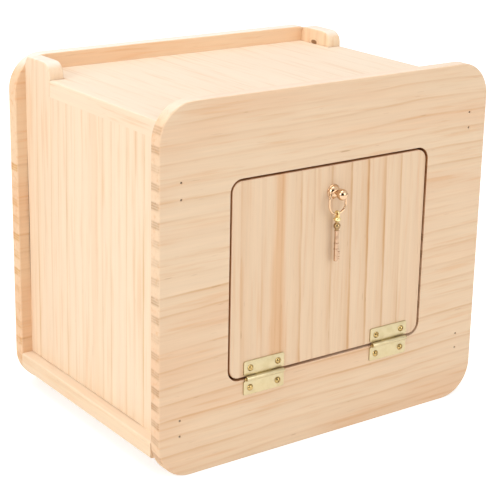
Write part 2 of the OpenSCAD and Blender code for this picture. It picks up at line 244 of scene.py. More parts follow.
def times(tree, *sources):
    product = sources[0]
    for source in sources[1:]:
        product = doMath(tree, "MULTIPLY", product, source)
    return product


def plus(tree, first, second):
    return doMath(tree, "ADD", first, second)


def minus(tree, first, second):
    return doMath(tree, "SUBTRACT", first, second)


def tintBy(tree, amount, colour, tint):
    return mixColours(tree, amount, colour, tint, "MULTIPLY")


def dimBy(tree, colour, level):
    return tintBy(tree, 1.0, colour, combine(tree, level, level, level))


def centredNoise(tree, vector, **values):
    return minus(tree, noiseAt(tree, vector, **values), 0.5)


def addSocket(group, name, kind, isInput=True, value=None):
    socket = group.interface.new_socket(name=name, in_out="INPUT" if isInput else "OUTPUT",
                                        socket_type="NodeSocket" + kind)
    if value is not None:
        socket.default_value = value


# a new node group, what its inputs give and what its outputs take
def startGroup(name, inputs, outputs):
    group = bpy.data.node_groups.new(name, "ShaderNodeTree")
    for socketName, kind, value in inputs:
        addSocket(group, socketName, kind, value=value)
    for socketName, kind in outputs:
        addSocket(group, socketName, kind, False)
    return group, group.nodes.new("NodeGroupInput").outputs, group.nodes.new("NodeGroupOutput").inputs


def useGroup(tree, group, vector, settings):
    node = addNode(tree, "ShaderNodeGroup")
    node.node_tree = group
    tree.links.new(vector, node.inputs["Vector"])
    for socketName, value in settings.items():
        node.inputs[socketName].default_value = value
    return node


def startMaterial(name):
    material = bpy.data.materials.new(name)
    material.use_nodes = True
    return material, material.node_tree


# colour, roughness and height of a group node go to the shader, the height as a bump
def feedShader(tree, colour, group, strength, distance):
    shader = tree.nodes["Principled BSDF"]
    bump = addNode(tree, "ShaderNodeBump")
    bump.inputs["Strength"].default_value = strength
    bump.inputs["Distance"].default_value = distance
    tree.links.new(group.outputs["Height"], bump.inputs["Height"])
    tree.links.new(colour, shader.inputs["Base Color"])
    tree.links.new(group.outputs["Roughness"], shader.inputs["Roughness"])
    tree.links.new(bump.outputs[0], shader.inputs["Normal"])
    return shader


# pine: a board sawn from a log, its grain along Z and its face towards -Y

def grainSpace(tree, axes, across, along, seed, shift=0.0):
    x, y, z = axes
    return combine(tree, doMath(tree, "MULTIPLY_ADD", x, across, shift),
                   doMath(tree, "MULTIPLY_ADD", y, across, seed),
                   doMath(tree, "MULTIPLY_ADD", z, along, seed))


# distance from the log's heart, less than nothing on the heart's other side
def buildHeartGroup():
    t, get, out = startGroup("heartDistance", (
        ("Vector", "Vector", None), ("Heart Across", "Float", 0.0), ("Heart Depth", "Float", 0.01),
        ("Heart Lean", "Float", 0.02), ("Heart Slant", "Float", 0.0), ("Wander", "Float", 0.004),
        ("Waver", "Float", 0.0005), ("Seed", "Float", 0.0)), (("Distance", "Float"),))
    axes = splitVector(t, get["Vector"])
    x, y, z = axes
    seed = get["Seed"]
    slow = centredNoise(t, grainSpace(t, axes, 6.0, 5.0, seed, 3.1), detail=1.0)
    slowDeep = centredNoise(t, grainSpace(t, axes, 6.0, 4.0, seed, 17.4), detail=1.0)
    bend = centredNoise(t, grainSpace(t, axes, 30.0, 16.0, seed, 8.8), detail=2.0)
    shiver = centredNoise(t, grainSpace(t, axes, 160.0, 60.0, seed, 5.5), detail=2.0)
    slant = times(t, z, get["Heart Slant"])
    lean = times(t, z, get["Heart Lean"])
    across = plus(t, minus(t, x, get["Heart Across"]), slant)
    across = plus(t, across, times(t, slow, get["Wander"], 4.0))
    deep = plus(t, minus(t, y, get["Heart Depth"]), lean)
    deep = plus(t, deep, times(t, slowDeep, get["Wander"], 4.0))
    squares = plus(t, times(t, across, across), times(t, deep, deep))
    distance = plus(t, doMath(t, "SQRT", squares), times(t, bend, get["Wander"], 0.5))
    distance = plus(t, distance, times(t, shiver, get["Waver"]))
    distance = times(t, distance, doMath(t, "SIGN", across))
    t.links.new(distance, out["Distance"])
    return t


# how far through the year, and how dark the wood grown then is
yearTones = ((0.0, 0.20), (0.05, 0.04), (0.48, 0.03), (0.70, 0.16), (0.84, 0.40), (0.92, 1.0),
             (0.965, 0.95), (1.0, 0.20))

# tints laid over a board's own early, late and end wood
# three of these are painted light rather than wood: the shade on the edges round the door, the shade in the
# open joint and the paler light on upward faces
woodTints = {"blush": (0.945, 0.77, 0.66, 1), "streak": (0.90, 0.70, 0.50, 1),
             "canal": (0.42, 0.22, 0.10, 1), "deepPore": (0.95, 0.90, 0.86, 1),
             "shutPore": (1.0, 1.0, 1.0, 1), "paintedTopLight": (0.92, 0.84, 0.75, 1),
             "doorGapShade": (0.66, 0.42, 0.24, 1), "band": (0.93, 0.79, 0.66, 1),
             "jointShade": (0.20, 0.12, 0.07, 1), "knotRings": (0.80, 0.62, 0.44, 1)}


# pale early wood, a slow rise to the late wood, and a quick end
def lateWood(t, axes, seed, part, yearStrength, slowRise):
    ramp = addNode(t, "ShaderNodeValToRGB")
    line = ramp.color_ramp.elements
    while len(line) < len(yearTones):
        line.new(0.5)
    for element, (place, level) in zip(line, yearTones):
        element.position = place
        element.color = (level, level, level, 1)
    feed(t, ramp, 0, part)
    patchy = noiseAt(t, grainSpace(t, axes, 45.0, 11.0, seed, 5.2), detail=4.0)
    patchy = fitRange(t, patchy, 0.3, 0.7, 0.15, 1.35)
    late = times(t, ramp.outputs["Color"], yearStrength, patchy)
    rise = times(t, doMath(t, "POWER", part, 2.2), fitRange(t, part, 0.96, 1.0, 1.0, 0.0),
                 fitRange(t, patchy, 0.15, 1.35, 0.6, 1.0))
    return doMath(t, "MAXIMUM", late, times(t, rise, slowRise, yearStrength))


# late wood on a cut end: blocks of fine lines, a little broken
def endBlocks(t, axes, seed, part, yearStrength):
    broken = noiseAt(t, grainSpace(t, axes, 90.0, 90.0, seed, 7.7), detail=3.0)
    broken = fitRange(t, broken, 0.30, 0.55, 0.30, 1.0, smooth=True)
    fineLines = fitRange(t, doMath(t, "SINE", times(t, part, 44.0)), -1.0, 0.6, 0.55, 1.0)
    return times(t, fitRange(t, part, 0.44, 0.60, smooth=True), fitRange(t, part, 0.93, 1.0, 1.0, 0.1),
                 broken, fineLines, yearStrength)


def buildPineGroup():
    t, get, out = startGroup("pineFigure", (
        ("Vector", "Vector", None), ("Facing", "Vector", None), ("Upward", "Float", 0.0),
        ("Years", "Float", 0.0), ("Seed", "Float", 0.0), ("Ring Strength", "Float", 0.5),
        ("Slow Rise", "Float", 0.3), ("Streaks", "Float", 0.5), ("Blush", "Float", 0.3),
        ("Painted Top Light", "Float", 0.6), ("Early Wood", "Color", (0.8, 0.6, 0.4, 1)),
        ("Late Wood", "Color", (0.6, 0.35, 0.17, 1)), ("End Wood", "Color", (0.5, 0.35, 0.22, 1))),
        (("Colour", "Color"), ("Roughness", "Float"), ("Height", "Float")))
    axes = splitVector(t, get["Vector"])
    seed = get["Seed"]
    year = doMath(t, "FLOOR", get["Years"])
    part = doMath(t, "FRACT", get["Years"])
    chance = addNode(t, "ShaderNodeTexWhiteNoise", noise_dimensions="2D")
    feed(t, chance, "Vector", combine(t, year, seed, 0.0))
    yearStrength = fitRange(t, chance.outputs["Value"], 0.0, 1.0, 0.30, 1.0)
    late = lateWood(t, axes, seed, part, yearStrength, get["Slow Rise"])
    endGrain = fitRange(t, doMath(t, "ABSOLUTE", splitVector(t, get["Facing"])[2]), 0.35, 0.95, smooth=True)
    alongGrain = minus(t, 1.0, endGrain)
    amount = plus(t, times(t, late, get["Ring Strength"], alongGrain),
                  times(t, endBlocks(t, axes, seed, part, yearStrength), endGrain))
    amount = doMath(t, "MINIMUM", amount, 1.0)
    colour = mixColours(t, amount, get["Early Wood"],
                        mixColours(t, endGrain, get["Late Wood"], get["End Wood"]))

    # broad rosy patches, middling streaks and fine fibres, all along the grain
    blush = noiseAt(t, grainSpace(t, axes, 22.0, 4.5, seed, 31.0), detail=3.0)
    blush = fitRange(t, blush, 0.42, 0.66, smooth=True)
    colour = tintBy(t, times(t, blush, get["Blush"]), colour, woodTints["blush"])
    streak = noiseAt(t, grainSpace(t, axes, 260.0, 13.0, seed, 12.0), detail=3.0, roughness=0.6)
    darkStreak = fitRange(t, streak, 0.50, 0.72, smooth=True)
    colour = tintBy(t, times(t, darkStreak, get["Streaks"]), colour, woodTints["streak"])
    colour = dimBy(t, colour, fitRange(t, streak, 0.28, 0.46, 1.035, 1.0))
    fibre = noiseAt(t, grainSpace(t, axes, 700.0, 16.0, seed, 2.0), detail=3.0, roughness=0.6)
    colour = dimBy(t, colour, fitRange(t, fibre, 0.3, 0.7, 0.97, 1.02))

    # short resin canals, most of them in the late wood
    canal = noiseAt(t, grainSpace(t, axes, 800.0, 60.0, seed, 9.0), detail=1.0)
    canal = times(t, fitRange(t, canal, 0.71, 0.76), fitRange(t, late, 0.05, 0.5, 0.3, 1.0))
    colour = mixColours(t, times(t, canal, 0.5), colour, woodTints["canal"])

    # open pores on the cut ends, and painted light that makes the upward faces paler
    pores = noiseAt(t, grainSpace(t, axes, 1500.0, 1500.0, seed, 4.0), detail=2.0)
    poreTint = mixColours(t, pores, woodTints["deepPore"], woodTints["shutPore"])
    colour = mixColours(t, times(t, endGrain, 0.7), colour, tintBy(t, 1.0, colour, poreTint))
    paintedTopLight = fitRange(t, get["Upward"], 0.5, 0.95, smooth=True)
    colour = mixColours(t, times(t, paintedTopLight, get["Painted Top Light"]), colour, woodTints["paintedTopLight"])

    rough = plus(t, fitRange(t, fibre, 0.3, 0.7, 0.50, 0.62), times(t, endGrain, 0.14))
    rough = minus(t, rough, times(t, late, 0.07))
    height = plus(t, times(t, fibre, 0.5), times(t, late, 0.35))
    height = minus(t, height, times(t, canal, 0.6))
    height = plus(t, height, times(t, pores, endGrain, 0.8))
    for socketName, source in (("Colour", colour), ("Roughness", rough), ("Height", height)):
        t.links.new(source, out[socketName])
    return t


heartGroup = buildHeartGroup()
pineGroup = buildPineGroup()

# turns that bring a board's grain to Z and its outer face to -Y
grainTurns = {
    "upright": (0, 0, 0),                      # grain along Z, face -Y
    "level": (0, radians(-90), 0),             # grain along X, face -Y
    "sideWall": (0, 0, radians(90)),           # grain along Z, face -X
    "frontToBack": (radians(90), 0, 0),        # grain along Y, face up or down
}


ringReach = 300.0                              # mm from the heart within which rings are counted


# yearly rings, in mm from the heart
def evenRings(pitch):
    return [pitch * (i + 0.8) for i in range(int(ringReach / pitch))]


# in mm: the doorway's half width, its foot and its top, whose edge faces get painted shade, and the box
# in which the left wall's back joint has opened and is painted with shade
doorway = (83.5, 57, 196)
openJoint = ((-127.3, -116), (90, 96.5), (68, 182))

# what most boards share
plainBoard = {"lean": 0.02, "slant": 0.01, "wander": 0.0030, "waver": 0.0010, "rise": 0.25,
              "end": (0.520, 0.370, 0.250)}

# each board's place in its log in metres and how it leans there, its rings, band and knot in mm,
# its colours, and how strongly its upward faces are painted paler as painted light
boards = {
    "front_panel": {
        "turn": "level", "across": 0.012, "depth": -0.082, "wander": 0.0034, "waver": 0.0008, "seed": 3.0,
        "strength": 0.58, "streaks": 0.45, "blush": 0.45, "rise": 0.32, "topLightPaint": 0.42, "doorway": doorway,
        "oneSide": (18, 41, 58, 77, 103, 119, 130, 144, 159, 175, 192, 205, 215, 228, 240),
        "otherSide": evenRings(12), "early": (0.835, 0.630, 0.435), "late": (0.650, 0.350, 0.145),
        "end": (0.520, 0.330, 0.195)},
    "back_panel": {
        "turn": "level", "across": 0.125, "depth": 0.110, "waver": 0.0012, "seed": 9.0, "strength": 0.45,
        "streaks": 0.5, "blush": 0.4, "topLightPaint": 0.9, "jointShade": openJoint, "oneSide": evenRings(11),
        "otherSide": evenRings(13), "early": (0.853, 0.618, 0.408), "late": (0.600, 0.340, 0.160),
        "end": (0.685, 0.385, 0.155)},
    "left_side": {
        "turn": "sideWall", "across": -0.012, "depth": -0.136, "lean": 0.0, "slant": -0.012,
        "wander": 0.0008, "seed": 5.0, "strength": 0.80, "streaks": 0.40, "blush": 0.15, "topLightPaint": 0.75,
        "jointShade": openJoint, "band": {"middle": -2, "half": 7, "amount": 0.35},
        "oneSide": (8.5, 23, 33, 43, 52, 62, 73, 84), "otherSide": (12, 20, 31, 42, 52, 61, 72, 77, 88),
        "early": (0.860, 0.675, 0.490), "late": (0.700, 0.440, 0.200)},
    "right_side": {
        "turn": "sideWall", "across": -0.020, "depth": 0.130, "lean": 0.0, "wander": 0.0012, "seed": 12.0,
        "strength": 0.8, "streaks": 0.45, "blush": 0.2, "topLightPaint": 0.75, "oneSide": evenRings(10),
        "otherSide": evenRings(9.5), "early": (0.850, 0.655, 0.455), "late": (0.640, 0.390, 0.180),
        "knot": {"y": 79.5, "z": 237.3, "radius": 4.0, "flat": 2.0, "reach": 9.0, "rings": 2300.0,
                 "shake": 1.6, "colour": (0.23, 0.10, 0.035, 1)}},
    "top_panel": {
        "turn": "frontToBack", "across": -0.080, "depth": 0.236, "lean": 0.0, "slant": 0.02,
        "wander": 0.0020, "seed": 7.0, "strength": 0.62, "streaks": 0.6, "blush": 0.2, "topLightPaint": 0.28,
        "oneSide": evenRings(14), "otherSide": evenRings(15), "early": (0.850, 0.672, 0.490),
        "late": (0.690, 0.440, 0.230), "end": (0.620, 0.430, 0.260)},
    "base_panel": {
        "turn": "frontToBack", "across": 0.050, "depth": -0.060, "seed": 15.0, "strength": 0.40,
        "streaks": 0.4, "blush": 0.3, "topLightPaint": 0.3, "oneSide": evenRings(12),
        "otherSide": evenRings(12), "early": (0.840, 0.640, 0.440), "late": (0.650, 0.390, 0.190),
        "end": (0.560, 0.400, 0.260)},
    "door_panel": {
        "turn": "upright", "across": -0.046, "depth": -0.091, "lean": 0.01, "slant": 0.014,
        "wander": 0.0012, "waver": 0.0012, "seed": 21.0, "strength": 0.85, "streaks": 0.35,
        "blush": 0.15, "rise": 0.62, "topLightPaint": 0.3, "doorway": doorway,
        "band": {"middle": -44, "half": 8.5, "amount": 0.9},
        "oneSide": (7.5, 24, 34, 49, 65.5, 80, 95, 109, 117, 130), "otherSide": (9, 26, 38, 50),
        "early": (0.830, 0.620, 0.425), "late": (0.630, 0.345, 0.150)},
    "door_stop": {
        "turn": "level", "across": 0.150, "depth": 0.090, "slant": 0.0, "seed": 27.0, "strength": 0.42,
        "streaks": 0.4, "blush": 0.3, "topLightPaint": 0.2, "oneSide": evenRings(6), "otherSide": evenRings(6),
        "early": (0.820, 0.610, 0.410), "late": (0.620, 0.360, 0.170)},
}


# a curve that turns the distance from the heart into years
def countYears(tree, distance, oneSide, otherSide):
    most = 64.0                                # years that the curve can count
    curve = addNode(tree, "ShaderNodeFloatCurve")
    points = [(0.5, 0.0)]
    for sign, rings in ((1, oneSide), (-1, otherSide)):
        rings = list(rings)
        last = rings[-1] - rings[-2]
        while rings[-1] + last < ringReach and len(rings) < 30:
            rings.append(rings[-1] + last)
        points += [(0.5 + sign * 0.5 * place / ringReach, (i + 1) / most)
                   for i, place in enumerate(rings) if place < ringReach]
    line = curve.mapping.curves[0]
    points.sort()
    line.points[0].location = points[0]
    line.points[1].location = points[-1]
    for place in points[1:-1]:
        line.points.new(*place)
    for point in line.points:
        point.handle_type = "VECTOR"
    curve.mapping.use_clip = False
    curve.mapping.update()
    feed(tree, curve, "Value", fitRange(tree, distance, -ringReach * mm, ringReach * mm))
    return times(tree, curve.outputs[0], most)


# painted shade: the edge faces round the door are painted browner, most on the left and above
def paintDoorGapShade(t, colour, place, facing, reach):
    across, low, high = reach
    x, z = place[0], place[2]
    edge = fitRange(t, doMath(t, "ABSOLUTE", facing[1]), 0.3, 0.8, 1.0, 0.0)
    edge = times(t, edge, doMath(t, "LESS_THAN", doMath(t, "ABSOLUTE", x), across * mm),
                 doMath(t, "GREATER_THAN", z, low * mm), doMath(t, "LESS_THAN", z, high * mm))
    gapShadeSpread = doMath(t, "MAXIMUM", times(t, x, -1.0), minus(t, z, (low + high) / 2 * mm))
    edge = times(t, edge, fitRange(t, gapShadeSpread, -0.01, 0.06, 0.25, 1.0))
    return tintBy(t, edge, colour, woodTints["doorGapShade"])


# one broad reddish band along the grain
def addBand(t, colour, axes, seed, band):
    half = band["half"] * mm
    wave = centredNoise(t, grainSpace(t, axes, 60.0, 9.0, seed), detail=3.0)
    away = minus(t, axes[0], band["middle"] * mm)
    away = doMath(t, "ABSOLUTE", plus(t, away, times(t, wave, half * 2.2)))
    amount = fitRange(t, away, half, half * 0.2, 0.0, band["amount"], smooth=True)
    return tintBy(t, amount, colour, woodTints["band"])


# painted shade: the open joint is painted dark, as no light reaches into it
def paintJointShade(t, colour, place, box):
    inside = []
    for source, (least, most) in zip(place, box):
        inside += [doMath(t, "GREATER_THAN", source, least * mm), doMath(t, "LESS_THAN", source, most * mm)]
    return tintBy(t, times(t, *inside), colour, woodTints["jointShade"])


# a small dark knot with rings bent round it
def addKnot(t, colour, vector, place, knot):
    radius = knot["radius"] * mm
    sideways = minus(t, place[1], knot["y"] * mm)
    upwards = times(t, minus(t, place[2], knot["z"] * mm), knot["flat"])
    away = doMath(t, "SQRT", plus(t, doMath(t, "POWER", sideways, 2.0), doMath(t, "POWER", upwards, 2.0)))
    shake = centredNoise(t, vector, scale=900.0, detail=3.0)
    away = plus(t, away, times(t, shake, knot["shake"] * mm))
    rings = fitRange(t, doMath(t, "SINE", times(t, away, knot["rings"])), -0.2, 1.0)
    rings = times(t, rings, fitRange(t, away, knot["reach"] * mm, radius, 0.0, 0.45))
    colour = tintBy(t, rings, colour, woodTints["knotRings"])
    core = fitRange(t, away, radius, radius * 0.65, 0.0, 0.92, smooth=True)
    return mixColours(t, core, colour, knot["colour"])


def makePine(nodeName, values):
    material, t = startMaterial(nodeName.replace("_", "") + "Pine")
    coords = addNode(t, "ShaderNodeTexCoord").outputs
    turned = []
    for source in ("Object", "Normal"):
        turn = addNode(t, "ShaderNodeMapping", vector_type="VECTOR")
        turn.inputs["Rotation"].default_value = grainTurns[values["turn"]]
        t.links.new(coords[source], turn.inputs["Vector"])
        turned.append(turn.outputs[0])
    heart = useGroup(t, heartGroup, turned[0], {
        "Heart Across": values["across"], "Heart Depth": values["depth"], "Heart Lean": values["lean"],
        "Heart Slant": values["slant"], "Wander": values["wander"], "Waver": values["waver"],
        "Seed": values["seed"]})
    pine = useGroup(t, pineGroup, turned[0], {
        "Seed": values["seed"], "Ring Strength": values["strength"], "Streaks": values["streaks"],
        "Blush": values["blush"], "Painted Top Light": values["topLightPaint"], "Slow Rise": values["rise"],
        "Early Wood": values["early"] + (1,), "Late Wood": values["late"] + (1,),
        "End Wood": values["end"] + (1,)})
    place = splitVector(t, coords["Object"])
    facing = splitVector(t, coords["Normal"])
    t.links.new(turned[1], pine.inputs["Facing"])
    t.links.new(facing[2], pine.inputs["Upward"])
    years = countYears(t, heart.outputs[0], values["oneSide"], values["otherSide"])
    t.links.new(years, pine.inputs["Years"])
    colour = pine.outputs["Colour"]
    # painted shade on the edge faces round the door
    if "doorway" in values:
        colour = paintDoorGapShade(t, colour, place, facing, values["doorway"])
    if "band" in values:
        colour = addBand(t, colour, splitVector(t, turned[0]), values["seed"], values["band"])
    # painted shade inside the open joint
    if "jointShade" in values:
        colour = paintJointShade(t, colour, place, values["jointShade"])
    if "knot" in values:
        colour = addKnot(t, colour, coords["Object"], place, values["knot"])
    shader = feedShader(t, colour, pine, 0.35, 0.12 * mm)
    shader.inputs["Specular IOR Level"].default_value = 0.35
    return material


for nodeName, values in boards.items():
    board = nodes[nodeName]
    board.data.materials.clear()
    board.data.materials.append(makePine(nodeName, plainBoard | values))
print("boards finished:", len(boards))


# metals

def buildMetalGroup():
    t, get, out = startGroup("metalTarnish", (
        ("Vector", "Vector", None), ("Clean", "Color", (0.8, 0.6, 0.3, 1)),
        ("Tarnished", "Color", (0.5, 0.35, 0.15, 1)), ("Patch Size", "Float", 300.0),
        ("Tarnish", "Float", 0.4), ("Polish", "Float", 0.2)),
        (("Colour", "Color"), ("Roughness", "Float"), ("Height", "Float")))
    patches = addNode(t, "ShaderNodeTexNoise")
    t.links.new(get["Vector"], patches.inputs["Vector"])
    t.links.new(get["Patch Size"], patches.inputs["Scale"])
    patches.inputs["Detail"].default_value = 4.0
    dull = fitRange(t, patches.outputs["Fac"], 0.42, 0.68, smooth=True)
    dull = times(t, dull, get["Tarnish"])
    colour = mixColours(t, dull, get["Clean"], get["Tarnished"])

    # fine marks of the polishing wheel
    stretch = addNode(t, "ShaderNodeMapping")
    stretch.inputs["Scale"].default_value = (1.0, 9.0, 14.0)
    t.links.new(get["Vector"], stretch.inputs["Vector"])
    marks = noiseAt(t, stretch.outputs[0], scale=520.0, detail=2.0)
    rough = plus(t, get["Polish"], fitRange(t, marks, 0.3, 0.7, -0.03, 0.06))
    rough = plus(t, rough, times(t, dull, 0.18))
    for socketName, source in (("Colour", colour), ("Roughness", rough), ("Height", marks)):
        t.links.new(source, out[socketName])
    return t


metalGroup = buildMetalGroup()


def makeMetal(name, clean, tarnished, tarnish, polish, patch=300.0, bumpBy=0.02):
    material, t = startMaterial(name)
    metal = useGroup(t, metalGroup, addNode(t, "ShaderNodeTexCoord").outputs["Object"], {
        "Clean": clean + (1,), "Tarnished": tarnished + (1,), "Tarnish": tarnish, "Polish": polish,
        "Patch Size": patch})
    shader = feedShader(t, metal.outputs["Colour"], metal, 0.3, bumpBy * mm)
    shader.inputs["Metallic"].default_value = 1.0
    return material


hingeBrass = makeMetal("hingeBrass", (0.575, 0.485, 0.295), (0.47, 0.38, 0.20), 0.35, 0.30, 160.0, 0.004)
screwBrass = makeMetal("screwBrass", (0.50, 0.36, 0.15), (0.40, 0.27, 0.10), 0.6, 0.15, 500.0)
roseGold = makeMetal("roseGold", (0.67, 0.46, 0.29), (0.60, 0.40, 0.24), 0.2, 0.07, 300.0, 0.002)
keyGold = makeMetal("keyGold", (0.54, 0.36, 0.24), (0.30, 0.18, 0.10), 0.5, 0.10, 260.0, 0.005)
keyBrass = makeMetal("keyBrass", (0.88, 0.74, 0.40), (0.70, 0.56, 0.24), 0.4, 0.22, 300.0, 0.005)
keyDark = makeMetal("keyDark", (0.44, 0.30, 0.15), (0.20, 0.12, 0.05), 0.5, 0.10, 300.0, 0.005)
nailSteel = makeMetal("nailSteel", (0.32, 0.25, 0.19), (0.14, 0.09, 0.06), 0.7, 0.42, 700.0)
zincSteel = makeMetal("zincSteel", (0.66, 0.66, 0.64), (0.42, 0.41, 0.38), 0.4, 0.3, 500.0)
nickelSkin = makeMetal("nickelSkin", (0.74, 0.73, 0.70), (0.55, 0.53, 0.48), 0.3, 0.14, 500.0)
print("metals mixed")


# hinges: sheet brass rolled round a pin

hinge = {"length": 33 * mm, "spacing": 108 * mm, "reach": 12 * mm, "sheet": 0.9 * mm,
         "sheetMiddle": 0.5 * mm, "rollRadius": 1.25 * mm, "rollDeg": 318, "outerKnuckle": 8.9 * mm,
         "knuckleGap": 0.45 * mm, "plateStart": 2.0 * mm, "cornerRound": 1.3 * mm, "edgeRound": 0.14 * mm,
         "pinRadius": 0.78 * mm, "pinEndRound": 0.25 * mm}
halfHinge = hinge["length"] / 2
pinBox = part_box("left_hinge_pin")
pinY = (pinBox[0].y + pinBox[1].y) / 2
pinZ = (pinBox[0].z + pinBox[1].z) / 2
plateY = frontY - hinge["sheetMiddle"]


def selectEdges(piece, test):
    bpy.ops.object.mode_set(mode="OBJECT")
    mesh = piece.data
    for vert in mesh.vertices:
        vert.select = False
    for face in mesh.polygons:
        face.select = False
    for edge in mesh.edges:
        a, b = (mesh.vertices[i].co for i in edge.vertices)
        edge.select = test(a, b)
    bpy.ops.object.mode_set(mode="EDIT")
    bpy.ops.mesh.select_mode(type="EDGE")


# up is 1 for the door's leaf and -1 for the frame's leaf
def rollLeaf(name, centreX, up, knuckles):
    inner = hinge["plateStart"]
    tall = hinge["reach"] - inner
    deselectAll()
    bpy.ops.mesh.primitive_plane_add(size=1, rotation=(pi / 2, 0, 0),
                                     location=(0, 0, up * (inner + tall / 2)))
    leaf = nameNew(name)
    leaf.scale = (hinge["length"], tall, 1)
    applyPlace(leaf)
    editAll(leaf)
    bpy.ops.mesh.select_mode(type="VERT")
    bpy.ops.object.mode_set(mode="OBJECT")
    for vert in leaf.data.vertices:            # round the two outer corners
        vert.select = abs(vert.co.z) > inner + tall / 2
    bpy.ops.object.mode_set(mode="EDIT")
    bpy.ops.mesh.bevel(offset=hinge["cornerRound"], segments=5, affect="VERTICES")
    for place in sorted({edge for span in knuckles for edge in span}):
        if abs(place) < halfHinge - mm:
            bpy.ops.mesh.select_all(action="SELECT")
            bpy.ops.mesh.bisect(plane_co=(place, 0, 0), plane_no=(1, 0, 0))

    def onKnuckle(a, b):
        middle = (a + b) / 2
        return (abs(abs(a.z) - inner) < 0.01 * mm and abs(abs(b.z) - inner) < 0.01 * mm
                and any(low < middle.x < high for low, high in knuckles))

    selectEdges(leaf, onKnuckle)
    # bring the sheet in to the roll, then round the pin and back to the plate
    pinAway = pinY - plateY
    step = (0, pinAway + hinge["rollRadius"], -up * inner)
    bpy.ops.mesh.extrude_region_move(TRANSFORM_OT_translate={"value": step})
    bpy.ops.mesh.spin(steps=22, angle=radians(-hinge["rollDeg"] * up), center=(0, pinAway, 0),
                      axis=(1, 0, 0))
    bpy.ops.object.mode_set(mode="OBJECT")
    movePiece(leaf, (centreX, plateY, pinZ))
    closeAndFix(leaf)
    addAndApply(leaf, "SOLIDIFY", thickness=hinge["sheet"], offset=0.0)
    addAndApply(leaf, "BEVEL", width=hinge["edgeRound"], segments=2, limit_method="ANGLE",
                angle_limit=radians(50))
    return leaf


def turnPin(name, centreX):
    r, rounding = hinge["pinRadius"], hinge["pinEndRound"]
    half = [(0, halfHinge), (r * 0.7, halfHinge - 0.02 * mm), (r, halfHinge - rounding)]
    pin = turnOutline(name, [(a, -b) for a, b in half] + half[::-1], 24)
    movePiece(pin, (centreX, pinY, pinZ), (0, pi / 2, 0))
    return pin


outerStart = halfHinge - hinge["outerKnuckle"]
middleEnd = outerStart - hinge["knuckleGap"]
for hand, side in ((-1, "left"), (1, "right")):
    centreX = hand * hinge["spacing"] / 2
    doorLeaf = rollLeaf(side + "DoorLeaf", centreX, 1, [(-middleEnd, middleEnd)])
    finishPiece(doorLeaf, "door", hingeBrass, side + "_door_leaf", angle=40)
    frameLeaf = rollLeaf(side + "FrameLeaf", centreX, -1,
                         [(-halfHinge, -outerStart), (outerStart, halfHinge)])
    finishPiece(frameLeaf, "case", hingeBrass, side + "_frame_leaf", angle=40)
    pin = turnPin(side + "HingePin", centreX)
    finishPiece(pin, "case", screwBrass, side + "_hinge_pin")
print("hinges rolled")


# round-headed screws

screw = {"headRadius": 2.3 * mm, "headHeight": 1.7 * mm, "rim": 0.22 * mm, "rimRound": 0.1 * mm,
         "shank": 1.1 * mm, "plainNeck": 1.2 * mm, "length": 8.5 * mm, "point": 2 * mm,
         "slotWidth": 0.6 * mm, "slotDepth": 0.8 * mm, "threadPitch": 0.9 * mm, "threadDepth": 0.22 * mm,
         "spacing": 22.6 * mm, "reach": 7 * mm, "seat": 1.0 * mm}


def threadOutline(radius, start, end, pitch, depth):
    points = []
    place = start
    while place - pitch > end:
        points += [(radius, place), (radius, place - pitch * 0.15), (radius - depth, place - pitch * 0.6)]
        place -= pitch
    return points + [(radius, place)]


def cutSlot(piece, width, depth, top, across, turnDeg):
    cutWith(piece, addBlock("slotTool", (0, 0, top), (across * 3, width, depth * 2), turnDeg))


# head up, the sheet's face at height 0
def turnRoundScrew(name, turnDeg):
    r, h, shank = screw["headRadius"], screw["headHeight"], screw["shank"]
    capRadius = (r * r + h * h) / (2 * h)
    dome = arcPoints(0, h - capRadius, capRadius, 90, 33, 12)
    dome = [(a, b) for a, b in dome if b > screw["rim"] + 0.03 * mm]
    outline = [(0, h)] + dome[1:] + [(r - 0.02 * mm, screw["rim"]), (r, screw["rimRound"]),
                                     (r - 0.08 * mm, 0), (shank, 0)]
    outline += threadOutline(shank, -screw["plainNeck"], screw["point"] - screw["length"],
                             screw["threadPitch"], screw["threadDepth"])
    outline += [(0.0, -screw["length"])]
    piece = turnOutline(name, outline, 32)
    cutSlot(piece, screw["slotWidth"], screw["slotDepth"], h, r, turnDeg)
    return piece


def placeLeafScrews(name, up, body, nodeName):
    pieces = []
    for hand in (-1, 1):
        for end in (-1, 1):
            turnDeg = 90 - 20 * hand - 35 * end + 9 * up      # no two slots stand alike
            piece = turnRoundScrew(name + "Part", turnDeg)
            movePiece(piece, (hand * hinge["spacing"] / 2 + end * screw["spacing"] / 2,
                              frontY - screw["seat"], pinZ + up * screw["reach"]), toFront)
            pieces.append(piece)
    finishPiece(joinPieces(pieces, name), body, screwBrass, nodeName, angle=30)


placeLeafScrews("doorLeafScrews", 1, "door", "door_leaf_screws")
placeLeafScrews("frameLeafScrews", -1, "case", "frame_leaf_screws")
print("hinge screws driven")


# knob

rose = {"radius": 5.1 * mm, "height": 4.6 * mm, "flange": 0.8 * mm, "lip": 0.3 * mm, "bore": 1.55 * mm,
        "edgeRound": 0.15 * mm}


def turnRose():
    r, high, flange, bore = rose["radius"], rose["height"], rose["flange"], rose["bore"]
    domeR = r - rose["lip"]
    line = [(bore, 0), (r - rose["edgeRound"], 0), (r, rose["edgeRound"]), (r, flange - 0.2 * mm),
            (r - 0.1 * mm, flange - 0.04 * mm), (domeR + 0.06 * mm, flange)]
    line += [(a, b) for a, b in arcPoints(0, high - domeR, domeR, 2, 70, 20) if b > flange + 0.05 * mm]
    line += [(bore, high - 0.32 * mm), (bore, 0)]
    return turnOutline("knobRose", line, 56)


roseTurned = turnRose()
movePiece(roseTurned, (0, frontY, knobZ), toFront)
finishPiece(roseTurned, "door", roseGold, "knob_rose")

